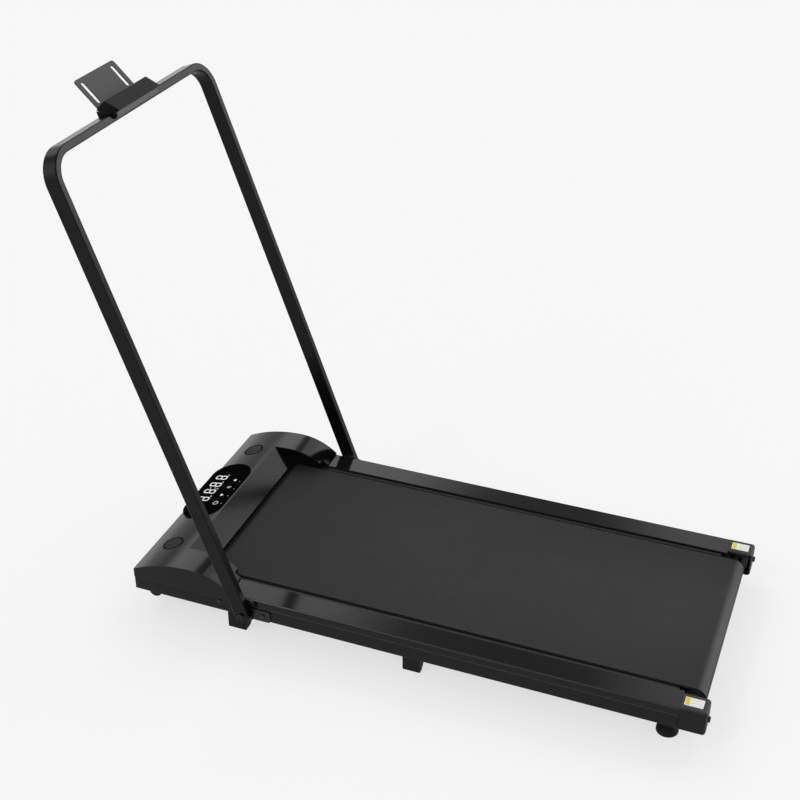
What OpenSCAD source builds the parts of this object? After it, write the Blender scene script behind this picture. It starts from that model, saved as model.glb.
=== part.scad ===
// Walking treadmill with a folding handrail.
// Deck coordinates: x runs from the motor end to the rear, +y is the user's right, z starts
// at the underside of the side tubes. deck() moves them to the part's own frame, whose origin
// is on the floor under the middle of the outline.

/* [Deck] */
// Length from the front face to the rear of the end caps
deck_l = 1112; // [1000:1:1300]
// Width over the side rails
frame_w = 512; // [480:1:560]
// Height of the side tubes
tube_h = 29; // [26:1:34]
// Width of the side tubes
tube_w = 25; // [22:1:28]
// Clear height of the side tubes over the floor
ground = 40; // [36:1:50]
// Height of the rail tops over the underside of the side tubes
rail_z = 46; // [46:0.5:48]
// Width of a side rail, seen from above
rail_w = 48.7; // [45:0.1:52]

/* [Walking belt] */
// Width of the walking belt
belt_w = 396; // [360:1:400]
// Height of the running surface
belt_z = 44; // [43:0.5:45]
// Thickness of the walking belt
belt_t = 1.8; // [1.4:0.1:2]
// Radius of both rollers
roller_r = 19; // [17:0.5:19]
// Axis of the front roller, from the front face
front_axis_x = 137; // [136:1:145]

/* [End caps] */
// Length of an end cap
cap_l = 48; // [44:1:60]
// Width of an end cap
cap_w = 42.6; // [42:0.1:46]
// How far an end cap reaches below the side tube
cap_drop = 3.5; // [1:0.5:6]
// Corner radius of an end cap
cap_r = 6; // [2:0.5:6]

/* [Motor cover] */
// Length of the cover over the side rails
cover_l = 207; // [200:1:220]
// Distance of the highest line from the front face
peak_x = 126; // [120:1:130]
// Height of the highest line
peak_z = 79; // [78:1:84]
// Radius of the arch in front of the highest line
front_r = 275; // [260:5:300]
// Radius of the arch behind the highest line
rear_r = 125; // [120:1:130]
// Half the width of the ramp between the wings
ramp_half = 193; // [188:1:195]
// Top edge of the ramp, from the front face
ramp_top_x = 90; // [88:1:96]
// Bottom edge of the ramp, from the front face
ramp_end_x = 133.5; // [131:0.5:138]
// Wall of the plastic covers
wall = 2.5; // [2:0.1:3]

/* [Display] */
// Fore-and-aft width of the display window
display_w = 85; // [80:1:90]
// Length of the display window across the deck
display_l = 206; // [180:1:210]
// Offset of the display to the user's right
display_y = 15; // [-20:1:20]
// Height of the window over the cover at the front edge
display_lift = 9; // [8:0.5:10]
// Fall of the window towards the front, as a slope
display_slope = 0.235; // [0.22:0.005:0.24]

/* [Handrail] */
// Half the outer width of the handrail
rail_half = 276.5; // [270:0.5:300]
// Length from the pivot to the outer face of the top bar
rail_l = 926.3; // [800:0.1:1000]
// Forward lean of the handrail in use, in degrees
lean = 19.3; // [0:0.1:25]
// Thickness of the flat tube, across the deck
bar_t = 15; // [12:0.1:16]
// Width of the flat tube, fore and aft
bar_w = 29; // [22:0.1:30]
// Outer radius of the top bends
bend_r = 56; // [45:1:70]
// Pivot of the handrail, from the front face
pivot_x = 240.2; // [240:0.1:260]
// Height of the handrail pivot
pivot_z = 18; // [16:0.1:20]

/* [Device holder] */
// Half the length of the holder base
base_half = 70.5; // [69:0.5:90]
// Half the width of the slotted plate
plate_half = 64.6; // [50:0.1:65]
// Length of the slotted plate, from its hinge
plate_l = 65; // [60:1:90]
// Forward tilt of the slotted plate against the handrail, in degrees
plate_tilt = 26; // [0:1:30]

/* [Feet] */
// Length of a front foot block
front_foot_l = 37; // [25:1:40]
// Length of a middle foot block
middle_foot_l = 34; // [25:1:40]
// Radius of a levelling foot
level_r = 20; // [15:1:22]
// Radius of a transport wheel
wheel_r = 13.5; // [12:0.5:13.5]

/* [Hidden] */

half = frame_w / 2;                     // outer face of the side rails
tube_out = half - 1;                    // outer face of the side tubes
tube_in = tube_out - tube_w;            // inner face of the side tubes
tube_t = 1.5;                           // wall of the side tubes
rail_in = half - rail_w;                // inner edge of the side rails
seam = 0.2;                             // joint line between neighbouring parts
belt_half = belt_w / 2;
belt_gap = 0.3;                         // belt to roller, clear
axis_z = belt_z - belt_t - belt_gap - roller_r;
cap_x = deck_l - cap_l;                 // front end of the end caps
rear_axis_x = deck_l - 31.5;
roller_half = belt_half + 2;
axle_r = 6;
bearing_r = 14;
bearing_w = 8;
run = 0.05;                             // radial clearance of a running fit
bracket_t = 4;
board_t = 11.5;
board_z = tube_h + 1.5;                 // underside of the deck board
board_half = tube_in + 10;
board_front = front_axis_x + 28;
board_rear = rear_axis_x - 28;
cap_top = rail_z + 2;
cap_in = tube_out + 0.6 - cap_w;
cap_wall = 3;

cover_z = tube_h + seam;                // lower edge of the cover
ramp_top_z = peak_z - front_r + sqrt(pow(front_r, 2) - pow(peak_x - ramp_top_x, 2));
ramp_end_z = belt_z + 5.2;
ramp_clear = belt_z + 3.2;              // underside of the ramp's lip
wing_clear = belt_z + 0.6;              // underside of the wings beside it
ramp_drop = wall / cos(atan2(ramp_top_z - ramp_end_z, ramp_end_x - ramp_top_x));
tail_x = cover_l - 12;                  // the wings end here between ramp and rail

window_t = 1.5;
window_r = display_w / 2;
window_front = peak_z - front_r + sqrt(pow(front_r, 2) - pow(peak_x, 2)) + display_lift;
window_angle = atan(display_slope);

motor_x = 62;
motor_z = 30;
motor_r = 26;
motor_y0 = -186;
motor_y1 = -60;
drive_y0 = -217;                        // the drive belt runs between these two
drive_y1 = -205;
drive_small = 9;
drive_big = 17;
drive_t = 2.2;
shaft_r = 6;

front_foot_x = 216.2;                   // middles of the foot blocks and crossmembers
middle_foot_x = 570.5;
front_foot_out = tube_out - 3.6;        // outer faces of the foot blocks
middle_foot_out = tube_out - 10.5;
foot_in = tube_in - 7.5;
level_x = deck_l - 68;
level_y = tube_in - 8;
wheel_x = 28;
wheel_z = -15.5;
wheel_w = 15;
wheel_y = tube_out - 29;
cross_w = 30;
cross_h = 22;
cross_z = 6;

tension_y = tube_in + 8;
bolt_r = 4;
leg_in = rail_half - bar_t;             // inner face of a handrail leg
bend_mid = bend_r - bar_t / 2;
corner_y = rail_half - bend_r;
corner_z = rail_l - bend_r;
bar_wall = 1.5;
end_r = 17.5;                           // rounded lower end of a leg, about the pivot
ear_r = 30.5;
stop_s = 22;                            // stop pin, up the leg from the pivot
stop_r = 2.6;

hinge_a = -29.2;                        // hinge of the slotted plate, over the top bar
hinge_n = 10;
pin_r = 1.5;
plate_t = 2.6;
plate_corner = 6;
slot_w = 9.4;
slot_y = 49.5;
slot_low = 10;
slot_high = 57;

// The outline's two ends, for an origin under its middle
tip_a = hinge_a - plate_l * sin(plate_tilt) - plate_t / 2 * cos(plate_tilt) + bar_w / 2;
tip_n = hinge_n + plate_l * cos(plate_tilt) - plate_t / 2 * sin(plate_tilt) + rail_l;
x_front = pivot_x + tip_a * cos(lean) - tip_n * sin(lean);
bolt_head = 4;
x_rear = deck_l + bolt_head;
shift_x = -(x_front + x_rear) / 2;

inlet_y = 150;                          // mains fittings on the front panel
switch_y = 196;
switch_pivot_x = 4;
switch_tilt = 8;
breaker_y = 108;
fitting_z = 14.5;

speaker_r = 21;
speaker_x = 46;
speaker_y = 178;
speaker_tilt = asin((peak_x - speaker_x) / front_r);

module deck() { translate([shift_x, 0, ground]) children(); }

// Draws a part of the user's right side, or its mirror image for side -1
module on_side(side) { mirror([0, side < 0 ? 1 : 0, 0]) children(); }

module both_sides() { for (side = [-1, 1]) on_side(side) children(); }

module box(x0, x1, y0, y1, z0, z1) { translate([x0, y0, z0]) cube([x1 - x0, y1 - y0, z1 - z0]); }

module along_x(x0, x1, y, z, r) {
    translate([x0, y, z]) rotate([0, 90, 0]) cylinder(r = r, h = x1 - x0, $fn = 48);
}

module along_y(x, y0, y1, z, r) {
    translate([x, y0, z]) rotate([-90, 0, 0]) cylinder(r = r, h = y1 - y0, $fn = 64);
}

module upright(x, y, z0, z1, r) { translate([x, y, z0]) cylinder(r = r, h = z1 - z0, $fn = 48); }

// Extrudes an outline drawn in x and z from y0 to y1
module slab_y(y0, y1) {
    translate([0, y1, 0]) rotate([90, 0, 0]) linear_extrude(y1 - y0) children();
}

// Extrudes an outline drawn in y and z from x0 to x1
module slab_x(x0, x1) {
    translate([x0, 0, 0]) rotate([90, 0, 90]) linear_extrude(x1 - x0) children();
}

module round_rect(w, h, r) {
    square([w - 2 * r, h], center = true);
    square([w, h - 2 * r], center = true);
    for (x = [-1, 1], y = [-1, 1]) translate([x * (w / 2 - r), y * (h / 2 - r)]) circle(r = r, $fn = 32);
}

module tube_x(x0, x1, y0, y1, z0, z1, t) {
    difference() {
        box(x0, x1, y0, y1, z0, z1);
        box(x0 - 1, x1 + 1, y0 + t, y1 - t, z0 + t, z1 - t);
    }
}

// ---- frame ----

module side_tube() {
    difference() {
        tube_x(2, cap_x - seam, tube_in, tube_out, 0, tube_h, tube_t);
        along_y(pivot_x, tube_in - 1, tube_out + 1, pivot_z, bolt_r);
    }
}

module side_tube_left() { color([0.09, 0.09, 0.1]) deck() on_side(-1) side_tube(); }

module side_tube_right() { color([0.09, 0.09, 0.1]) deck() on_side(1) side_tube(); }

module crossmember(x) {
    difference() {
        box(x - cross_w / 2, x + cross_w / 2, -tube_in, tube_in, cross_z, cross_z + cross_h);
        box(x - cross_w / 2 + tube_t, x + cross_w / 2 - tube_t, -tube_in - 1, tube_in + 1,
            cross_z + tube_t, cross_z + cross_h - tube_t);
    }
}

module front_crossmember() { color([0.09, 0.09, 0.1]) deck() crossmember(front_foot_x); }

module middle_crossmember() { color([0.09, 0.09, 0.1]) deck() crossmember(middle_foot_x); }

module rear_crossmember() {
    color([0.09, 0.09, 0.1]) deck() difference() {
        crossmember(level_x);
        both_sides() upright(level_x, level_y, cross_z - 1, cross_z + tube_t + 1, bolt_r + run);
    }
}

module motor_tray() {
    color([0.1, 0.1, 0.11]) deck() difference() {
        union() {
            box(0, tube_t, -tube_out, tube_out, 0, tube_h);
            box(tube_t, 110, -tube_in, tube_in, 0, tube_t);
            box(108.5, 110, drive_y1 + 3, tube_in, tube_t, 16);
        }
        box(-1, 3, inlet_y - 14, inlet_y + 14, fitting_z - 10.2, fitting_z + 10.2);
        box(-1, 3, switch_y - 6.6, switch_y + 6.6, fitting_z - 9.7, fitting_z + 9.7);
        along_x(-1, 3, breaker_y, fitting_z, 6.1);
        for (i = [-5 : 5]) box(40, 80, i * 34 + 8, i * 34 + 12, -1, 3);
    }
}

module side_rail() {
    lip = 2.4;
    slab_x(cover_l + seam, cap_x - seam) polygon([
        [half - lip, cover_z], [half, cover_z], [half, rail_z - 2], [half - 2, rail_z],
        [rail_in + 1, rail_z], [rail_in, rail_z - 1], [rail_in, board_z + board_t + 0.6],
        [rail_in + lip, board_z + board_t + 0.6], [rail_in + lip, rail_z - lip],
        [half - lip, rail_z - lip]
    ]);
}

module side_rail_left() { color([0.13, 0.13, 0.14]) deck() on_side(-1) side_rail(); }

module side_rail_right() { color([0.13, 0.13, 0.14]) deck() on_side(1) side_rail(); }

// ---- end caps and belt tension ----

module rounded_block(x0, x1, y0, y1, z0, z1, r) {
    hull() for (x = [x0 + r, x1 - r], y = [y0 + r, y1 - r], z = [z0 + r, z1 - r])
        translate([x, y, z]) sphere(r = r, $fn = 24);
}

module end_cap() {
    y1 = tube_out + 0.6;
    box(cap_x - 20, cap_x + 1, tube_in + tube_t, tube_out - tube_t, tube_h / 2, tube_h - tube_t);
    difference() {
        intersection() {
            rounded_block(cap_x - 2 * cap_r, deck_l, cap_in, y1, -cap_drop, cap_top, cap_r);
            box(cap_x, deck_l + 1, cap_in - 1, y1 + 1, -cap_drop - 1, cap_top + 1);
        }
        box(cap_x - 1, deck_l - cap_wall, cap_in - 1, y1 - cap_wall, -0.5, cap_top - cap_wall);
        along_x(deck_l - cap_wall - 1, deck_l + 1, tension_y, axis_z, 3.5);
    }
}

module end_cap_left() { color([0.16, 0.16, 0.17]) deck() on_side(-1) end_cap(); }

module end_cap_right() { color([0.16, 0.16, 0.17]) deck() on_side(1) end_cap(); }

module cap_labels() {
    color([0.93, 0.93, 0.9]) deck() both_sides()
        translate([cap_x + 21.5, tube_out - 21, cap_top]) linear_extrude(0.3) round_rect(33, 21, 1.5);
}

module front_axle_brackets() {
    color([0.5, 0.5, 0.52]) deck() both_sides() difference() {
        box(front_axis_x - 16, front_axis_x + 16, tube_in - bracket_t, tube_in, 3, 36);
        along_y(front_axis_x, tube_in - bracket_t - 1, tube_in + 1, axis_z, axle_r);
    }
}

module rear_axle_brackets() {
    color([0.5, 0.5, 0.52]) deck() both_sides() difference() {
        union() {
            box(rear_axis_x - 20, deck_l - 8, tube_in - bracket_t, tube_in, 3, 40);
            box(deck_l - 12, deck_l - 8, tube_in, tube_in + 16, 3, 40);
        }
        box(rear_axis_x - 12, rear_axis_x + 12, tube_in - bracket_t - 1, tube_in + 1,
            axis_z - axle_r, axis_z + axle_r);
        along_x(deck_l - 13, deck_l - 7, tension_y, axis_z, 3 + run);
    }
}

module tension_bolt() {
    along_x(rear_axis_x - 13, deck_l, tension_y, axis_z, 3);
    difference() {
        along_x(deck_l, deck_l + bolt_head, tension_y, axis_z, 5.5);
        translate([deck_l + 1.5, tension_y, axis_z]) rotate([0, 90, 0]) cylinder(r = 3, h = 5, $fn = 6);
    }
}

module tension_bolt_left() { color("silver") deck() on_side(-1) tension_bolt(); }

module tension_bolt_right() { color("silver") deck() on_side(1) tension_bolt(); }

// ---- walking deck ----

module deck_board() {
    color([0.45, 0.33, 0.22]) deck()
        box(board_front, board_rear, -board_half, board_half, board_z, board_z + board_t);
}

module deck_cushions() {
    count = 6;
    pitch = (board_rear - board_front) / count;
    color([0.05, 0.05, 0.05]) deck() both_sides() for (i = [0 : count - 1]) {
        x = board_front + (i + 0.5) * pitch;
        box(x - 25, x + 25, tube_in + 0.5, board_half, tube_h, board_z);
    }
}

// Everything inside a belt that runs round both rollers at radius r
module loop_2d(r) {
    for (x = [front_axis_x, rear_axis_x]) translate([x, axis_z]) circle(r = r, $fn = 96);
    translate([front_axis_x, axis_z - r]) square([rear_axis_x - front_axis_x, 2 * r]);
}

module walking_belt() {
    inner = roller_r + belt_gap;
    color([0.2, 0.2, 0.2]) deck() slab_y(-belt_half, belt_half) difference() {
        loop_2d(inner + belt_t);
        loop_2d(inner);
    }
}

module roller_axles() {
    color("silver") deck() {
        along_y(front_axis_x, -tube_in, tube_in, axis_z, axle_r);
        difference() {
            along_y(rear_axis_x, -tube_in - 16, tube_in + 16, axis_z, axle_r);
            both_sides() along_x(rear_axis_x - 8, rear_axis_x + 8, tension_y, axis_z, 3 + run);
        }
    }
}

module roller_bearings() {
    color([0.7, 0.7, 0.72]) deck() both_sides() for (x = [front_axis_x, rear_axis_x]) difference() {
        along_y(x, roller_half - bearing_w, roller_half, axis_z, bearing_r);
        along_y(x, roller_half - bearing_w - 1, roller_half + 1, axis_z, axle_r);
    }
}

module roller(x) {
    difference() {
        along_y(x, -roller_half, roller_half, axis_z, roller_r);
        along_y(x, -roller_half + 14, roller_half - 14, axis_z, roller_r - 2.5);
        along_y(x, -roller_half - 1, roller_half + 1, axis_z, axle_r + 2);
        for (side = [-1, 1]) on_side(side)
            along_y(x, roller_half - bearing_w, roller_half + 1, axis_z, bearing_r + run);
    }
}

module front_roller() { color([0.6, 0.6, 0.62]) deck() roller(front_axis_x); }

module rear_roller() { color([0.6, 0.6, 0.62]) deck() roller(rear_axis_x); }

// Ribbed rim of a belt pulley
module pulley_rim(x, z, r) {
    along_y(x, drive_y0, drive_y1 + 0.5, z, r - 0.8);
    for (i = [0 : 5]) along_y(x, drive_y0 + i * 2.2, drive_y0 + i * 2.2 + 1, z, r);
}

module roller_pulley() {
    color([0.35, 0.35, 0.37]) deck() difference() {
        union() {
            pulley_rim(front_axis_x, axis_z, drive_big);
            along_y(front_axis_x, drive_y1, -roller_half, axis_z, drive_big + 1.5);
            along_y(front_axis_x, drive_y0 - 1.5, drive_y0, axis_z, drive_big + 1.5);
        }
        along_y(front_axis_x, drive_y0 - 2, -roller_half + 1, axis_z, axle_r + 2);
    }
}

// ---- drive ----

module motor_housing() {
    color([0.12, 0.12, 0.13]) deck() difference() {
        union() {
            along_y(motor_x, motor_y0, motor_y1, motor_z, motor_r);
            for (y = [motor_y0 + 20 : 11 : motor_y1 - 20]) along_y(motor_x, y, y + 4, motor_z, motor_r + 1);
        }
        along_y(motor_x, motor_y0 + 9, motor_y1 - 9, motor_z, motor_r - 3);
        along_y(motor_x, motor_y0 - 1, motor_y1 + 1, motor_z, bearing_r);
    }
}

module motor_bracket() {
    color([0.5, 0.5, 0.52]) deck() for (y = [motor_y0 + 8, motor_y1 - 16]) difference() {
        box(motor_x - 24, motor_x + 24, y, y + 8, tube_t, 16);
        along_y(motor_x, y - 1, y + 9, motor_z, motor_r + 1.1);
    }
}

module motor_bearings() {
    color([0.7, 0.7, 0.72]) deck() for (y = [motor_y0, motor_y1 - bearing_w]) difference() {
        along_y(motor_x, y, y + bearing_w, motor_z, bearing_r);
        along_y(motor_x, y - 1, y + bearing_w + 1, motor_z, shaft_r + run);
    }
}

module motor_rotor() {
    color([0.62, 0.42, 0.25]) deck() {
        along_y(motor_x, drive_y0 - 1, motor_y1 - 2, motor_z, shaft_r);
        along_y(motor_x, motor_y0 + 14, motor_y1 - 14, motor_z, motor_r - 8);
    }
}

module motor_pulley() {
    color([0.35, 0.35, 0.37]) deck() difference() {
        union() {
            pulley_rim(motor_x, motor_z, drive_small);
            along_y(motor_x, drive_y1 + 0.5, drive_y1 + 2, motor_z, drive_small + 2);
        }
        along_y(motor_x, drive_y0 - 2, drive_y1 + 3, motor_z, shaft_r);
    }
}

// Everything inside the drive belt, grown by g
module drive_2d(g) {
    hull() {
        translate([motor_x, motor_z]) circle(r = drive_small + belt_gap + g, $fn = 48);
        translate([front_axis_x, axis_z]) circle(r = drive_big + belt_gap + g, $fn = 48);
    }
}

module drive_belt() {
    color([0.08, 0.08, 0.08]) deck() slab_y(drive_y0 + 0.3, drive_y1) difference() {
        drive_2d(drive_t);
        drive_2d(0);
    }
}

module controller_board() {
    color([0.1, 0.35, 0.2]) deck() {
        difference() {
            box(14, 100, 0, 92, 6, 7.6);
            for (x = [20, 94], y = [6, 86]) upright(x, y, 5, 9, 1.6);
        }
        for (x = [20, 94], y = [6, 86]) difference() {
            upright(x, y, tube_t, 6, 3.5);
            upright(x, y, tube_t + 1, 7, 1.6);
        }
        box(24, 46, 62, 84, 7.6, 24);
        box(70, 84, 60, 84, 7.6, 18);
    }
}

module heat_sink() {
    color([0.7, 0.72, 0.75]) deck() {
        box(50, 66, 12, 84, 7.6, 11);
        for (i = [0 : 5]) box(50 + i * 2.8, 51.6 + i * 2.8, 12, 84, 11, 36);
    }
}

module capacitors() {
    color([0.15, 0.2, 0.35]) deck() for (y = [16, 36]) along_x(16, 44, y, 17.6, 9.5);
}

// ---- motor cover ----

// Side outline of the cover, inset by i, from height base up
module arch_2d(i, base) {
    intersection() {
        translate([peak_x, peak_z - front_r]) circle(r = front_r - i, $fn = 360);
        translate([i, base]) square([peak_x - i, peak_z]);
    }
    intersection() {
        translate([peak_x, peak_z - rear_r]) circle(r = rear_r - i, $fn = 360);
        translate([peak_x, base]) square([cover_l - i - peak_x, peak_z]);
    }
}

// Everything above the ramp, lowered by drop
module ramp_cut_2d(drop) {
    polygon([[ramp_top_x, ramp_top_z - drop], [ramp_end_x, ramp_end_z - drop], [ramp_end_x, 0],
        [cover_l + 1, 0], [cover_l + 1, peak_z + 9], [ramp_top_x, peak_z + 9]]);
}

// Upright prism with the outline of the display window, grown by g
module window_prism(g) {
    reach = display_l / 2 - window_r;
    translate([window_r, display_y, 20]) linear_extrude(90) {
        for (side = [-1, 1]) translate([0, side * reach]) circle(r = window_r + g, $fn = 96);
        square([2 * (window_r + g), 2 * reach], center = true);
    }
}

// Sheet parallel to the window, from depth low to depth high under its face
module window_sheet(low, high) {
    translate([0, 0, window_front]) rotate([0, -window_angle, 0]) box(-30, 160, -250, 250, -low, -high);
}

module on_speaker(side) {
    translate([peak_x, 0, peak_z - front_r]) rotate([0, -speaker_tilt, 0])
        translate([0, side * speaker_y, front_r]) children();
}

module cover_shell() {
    difference() {
        union() {
            slab_y(-ramp_half, ramp_half) difference() {
                arch_2d(0, cover_z);
                ramp_cut_2d(0);
            }
            for (side = [-1, 1]) on_side(side) slab_y(ramp_half, half) arch_2d(0, cover_z);
        }
        slab_y(-half + wall, half - wall) intersection() {
            arch_2d(wall, cover_z - 1);
            translate([0, 0]) square([ramp_top_x - wall, peak_z]);
        }
        slab_y(-ramp_half, ramp_half) difference() {
            arch_2d(wall, cover_z - 1);
            ramp_cut_2d(ramp_drop);
        }
        box(ramp_top_x - 2 * wall, cover_l + 1, -half + wall, half - wall, 0, wing_clear);
        box(ramp_top_x - 2 * wall, ramp_end_x + 1, -ramp_half, ramp_half, 0, ramp_clear);
        for (side = [-1, 1]) on_side(side) {
            slab_y(rail_in + wall, half - wall) arch_2d(wall, cover_z - 1);
            slab_y(ramp_half + wall, rail_in + wall + 1) intersection() {
                arch_2d(wall, cover_z - 1);
                square([tail_x - wall, peak_z]);
            }
            box(tail_x, cover_l + 1, ramp_half - 1, rail_in, 0, peak_z);
        }
    }
}

module motor_cover() {
    color([0.14, 0.14, 0.15]) deck() difference() {
        cover_shell();
        intersection() {
            window_prism(seam);
            window_sheet(window_t + seam, -20);
        }
        window_prism(-5);
        for (side = [-1, 1]) on_speaker(side)
            translate([0, 0, -6]) cylinder(r = speaker_r + seam, h = 12, $fn = 64);
    }
}

module display_bezel() {
    color([0.1, 0.1, 0.11]) deck() difference() {
        intersection() {
            window_prism(0);
            window_sheet(40, window_t);
            box(-1, 36, -half, half, 0, peak_z);
        }
        slab_y(-half, half) translate([peak_x, peak_z - front_r]) circle(r = front_r, $fn = 360);
        window_prism(-5);
    }
}

module display_window() {
    color([0.02, 0.02, 0.02]) deck() intersection() {
        window_prism(0);
        window_sheet(window_t, 0);
    }
}

module display_board() {
    color([0.1, 0.35, 0.2]) deck() intersection() {
        union() {
            window_sheet(12, 10.4);
            intersection() {
                window_sheet(10.4, window_t);
                box(13, 46, -38, 81, 0, 99);
            }
        }
        box(10, 82, -50, 100, 0, 99);
    }
}

module speaker_grilles() {
    color([0.12, 0.12, 0.13]) deck() for (side = [-1, 1]) on_speaker(side)
        translate([0, 0, -2.4]) linear_extrude(2.2) difference() {
            circle(r = speaker_r, $fn = 64);
            difference() {
                for (r = [6 : 4 : 18]) difference() {
                    circle(r = r + 1.1, $fn = 64);
                    circle(r = r - 1.1, $fn = 64);
                }
                for (a = [0 : 45 : 135]) rotate(a) square([2.4, 2 * speaker_r], center = true);
            }
        }
}

module speakers() {
    color([0.25, 0.25, 0.26]) deck() for (side = [-1, 1]) on_speaker(side) {
        translate([0, 0, -6.4]) cylinder(r = speaker_r - 1, h = 4, $fn = 64);
        translate([0, 0, -10.4]) cylinder(r = 10, h = 4, $fn = 48);
    }
}

// ---- mains fittings on the front panel ----

module power_inlet() {
    color([0.06, 0.06, 0.06]) deck() translate([0, inlet_y, fitting_z]) {
        difference() {
            union() {
                box(-2, 0, -16, 16, -12, 12);
                box(0, 20, -13.8, 13.8, -10, 10);
            }
            box(-3, 15, -12, 12, -8, 8);
        }
        for (y = [-7, 0, 7]) box(3, 15, y - 1, y + 1, -2 + (y == 0 ? 3 : -1), 2 + (y == 0 ? 3 : -1));
    }
}

module switch_frame() {
    color([0.06, 0.06, 0.06]) deck() translate([0, switch_y, fitting_z]) difference() {
        union() {
            box(-2, 0, -8, 8, -11, 11);
            box(0, 16, -6.4, 6.4, -9.5, 9.5);
        }
        box(-3, 12, -5, 5, -8, 8);
        along_y(switch_pivot_x, -7, 7, 0, 1.5 + run);
    }
}

// Rocker, which turns about a line along y in its frame
module power_switch() {
    color([0.7, 0.06, 0.05]) deck() translate([switch_pivot_x, switch_y, fitting_z]) {
        rotate([0, switch_tilt, 0]) slab_y(-4.7, 4.7)
            polygon([[4, -6], [-6.6, -6.8], [-6, 0], [-6.6, 6.8], [4, 6]]);
        along_y(0, -6.2, 6.2, 0, 1.5);
    }
}

module overload_breaker() {
    color([0.06, 0.06, 0.06]) deck() translate([0, breaker_y, fitting_z]) difference() {
        union() {
            along_x(-1.5, 0, 0, 0, 8);
            along_x(0, 22, 0, 0, 6);
        }
        along_x(-2, 14, 0, 0, 3 + run);
    }
}

module breaker_button() {
    color([0.7, 0.7, 0.7]) deck() along_x(-5, 9, breaker_y, fitting_z, 3);
}

// ---- feet and transport wheels ----

module foot_block(x, l, out) {
    slab_x(x - l / 2, x + l / 2) polygon([
        [out, 0], [out, -ground + 1.5], [out - 1.5, -ground], [foot_in + 9, -ground],
        [foot_in, -ground + 9], [foot_in, 0]
    ]);
}

module foot_blocks() {
    color([0.1, 0.1, 0.1]) deck() both_sides() {
        foot_block(front_foot_x, front_foot_l, front_foot_out);
        foot_block(middle_foot_x, middle_foot_l, middle_foot_out);
    }
}

module levelling_foot() {
    translate([level_x, level_y, -ground]) {
        cylinder(r = level_r, h = 5, $fn = 64);
        rotate_extrude($fn = 64)
            polygon([[0, 5], [level_r, 5], [level_r - 3, 8], [9, 14], [7, 18], [0, 18]]);
        cylinder(r = bolt_r, h = ground + cross_z + 8, $fn = 48);
    }
}

module levelling_foot_left() { color([0.08, 0.08, 0.08]) deck() on_side(-1) levelling_foot(); }

module levelling_foot_right() { color([0.08, 0.08, 0.08]) deck() on_side(1) levelling_foot(); }

module lock_nuts() {
    color("silver") deck() both_sides() difference() {
        translate([level_x, level_y, cross_z - 6.5]) cylinder(r = 7.5, h = 6.5, $fn = 6);
        upright(level_x, level_y, cross_z - 7, cross_z + 1, bolt_r + run);
    }
}

module wheel_brackets() {
    w = wheel_w / 2 + 1;
    color([0.3, 0.3, 0.31]) deck() both_sides() {
        box(wheel_x - 9, wheel_x + 9, wheel_y - w - 2, wheel_y + w + 2, -1.5, 0);
        for (y = [wheel_y - w - 2, wheel_y + w]) {
            box(wheel_x - 7, wheel_x + 7, y, y + 2, wheel_z, -1.5);
            along_y(wheel_x, y, y + 2, wheel_z, 7);
        }
        along_y(wheel_x, wheel_y - w - 2, wheel_y + w + 3, wheel_z, bolt_r);
    }
}

module transport_wheel() {
    difference() {
        union() {
            along_y(wheel_x, wheel_y - wheel_w / 2, wheel_y + wheel_w / 2, wheel_z, wheel_r - 1);
            along_y(wheel_x, wheel_y - wheel_w / 2 + 1.5, wheel_y + wheel_w / 2 - 1.5, wheel_z, wheel_r);
        }
        along_y(wheel_x, wheel_y - wheel_w, wheel_y + wheel_w, wheel_z, bolt_r + run);
    }
}

module transport_wheel_left() { color([0.07, 0.07, 0.07]) deck() on_side(-1) transport_wheel(); }

module transport_wheel_right() { color([0.07, 0.07, 0.07]) deck() on_side(1) transport_wheel(); }

// ---- handrail ----

// Plate on the side tube, and a quadrant on it whose slot stops the handrail in use
module pivot_brackets() {
    face = tube_out + 3;
    color([0.12, 0.12, 0.13]) deck() both_sides() difference() {
        union() {
            translate([pivot_x + 16.8, 0, 13]) slab_y(tube_out, face) round_rect(68, 25, 4);
            translate([pivot_x, 0, pivot_z]) slab_y(face - 1, leg_in - 0.5) intersection() {
                circle(r = ear_r, $fn = 96);
                polygon([[-20, 40], [-20, -17], [15.5, -17], [15.5, 12], [60, 47]]);
            }
        }
        along_y(pivot_x, tube_out - 1, leg_in + 1, pivot_z, bolt_r);
        translate([pivot_x, leg_in, pivot_z]) rotate([90, 0, 0]) rotate(20)
            rotate_extrude(angle = 78 + lean, $fn = 96)
                translate([stop_s - stop_r - 0.4, 0]) square([2 * stop_r + 0.8, 3.3]);
    }
}

module pivot_bolts() {
    color([0.15, 0.15, 0.15]) deck() both_sides() {
        along_y(pivot_x, tube_in - 2, rail_half + 0.3, pivot_z, bolt_r);
        difference() {
            along_y(pivot_x, rail_half + 0.3, rail_half + 3.8, pivot_z, 5.2);
            translate([pivot_x, rail_half + 2, pivot_z]) rotate([-90, 0, 0])
                cylinder(r = 3, h = 3, $fn = 6);
        }
        translate([pivot_x, tube_in - 7, pivot_z]) rotate([-90, 0, 0]) cylinder(r = 7.5, h = 7, $fn = 6);
    }
}

module side_screws() {
    color([0.3, 0.3, 0.31]) deck() both_sides() {
        along_y(183, tube_out, tube_out + 1.8, 22.2, 3.6);
        along_y(197, half, half + 0.8, 43.4, 1.8);
        along_y(pivot_x + 35.3, tube_out + 3, tube_out + 5.2, 13.2, 4.5);
    }
}

// Places the handrail's own axes: z up the legs from the pivot, x to the rear
module on_handrail() { deck() translate([pivot_x, 0, pivot_z]) rotate([0, -lean, 0]) children(); }

// Flat tube section, w by t over its walls, drawn with its thickness along x
module bar_2d(inset) { round_rect(bar_t - 2 * inset, bar_w - 2 * inset, 2.5 - inset); }

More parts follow.
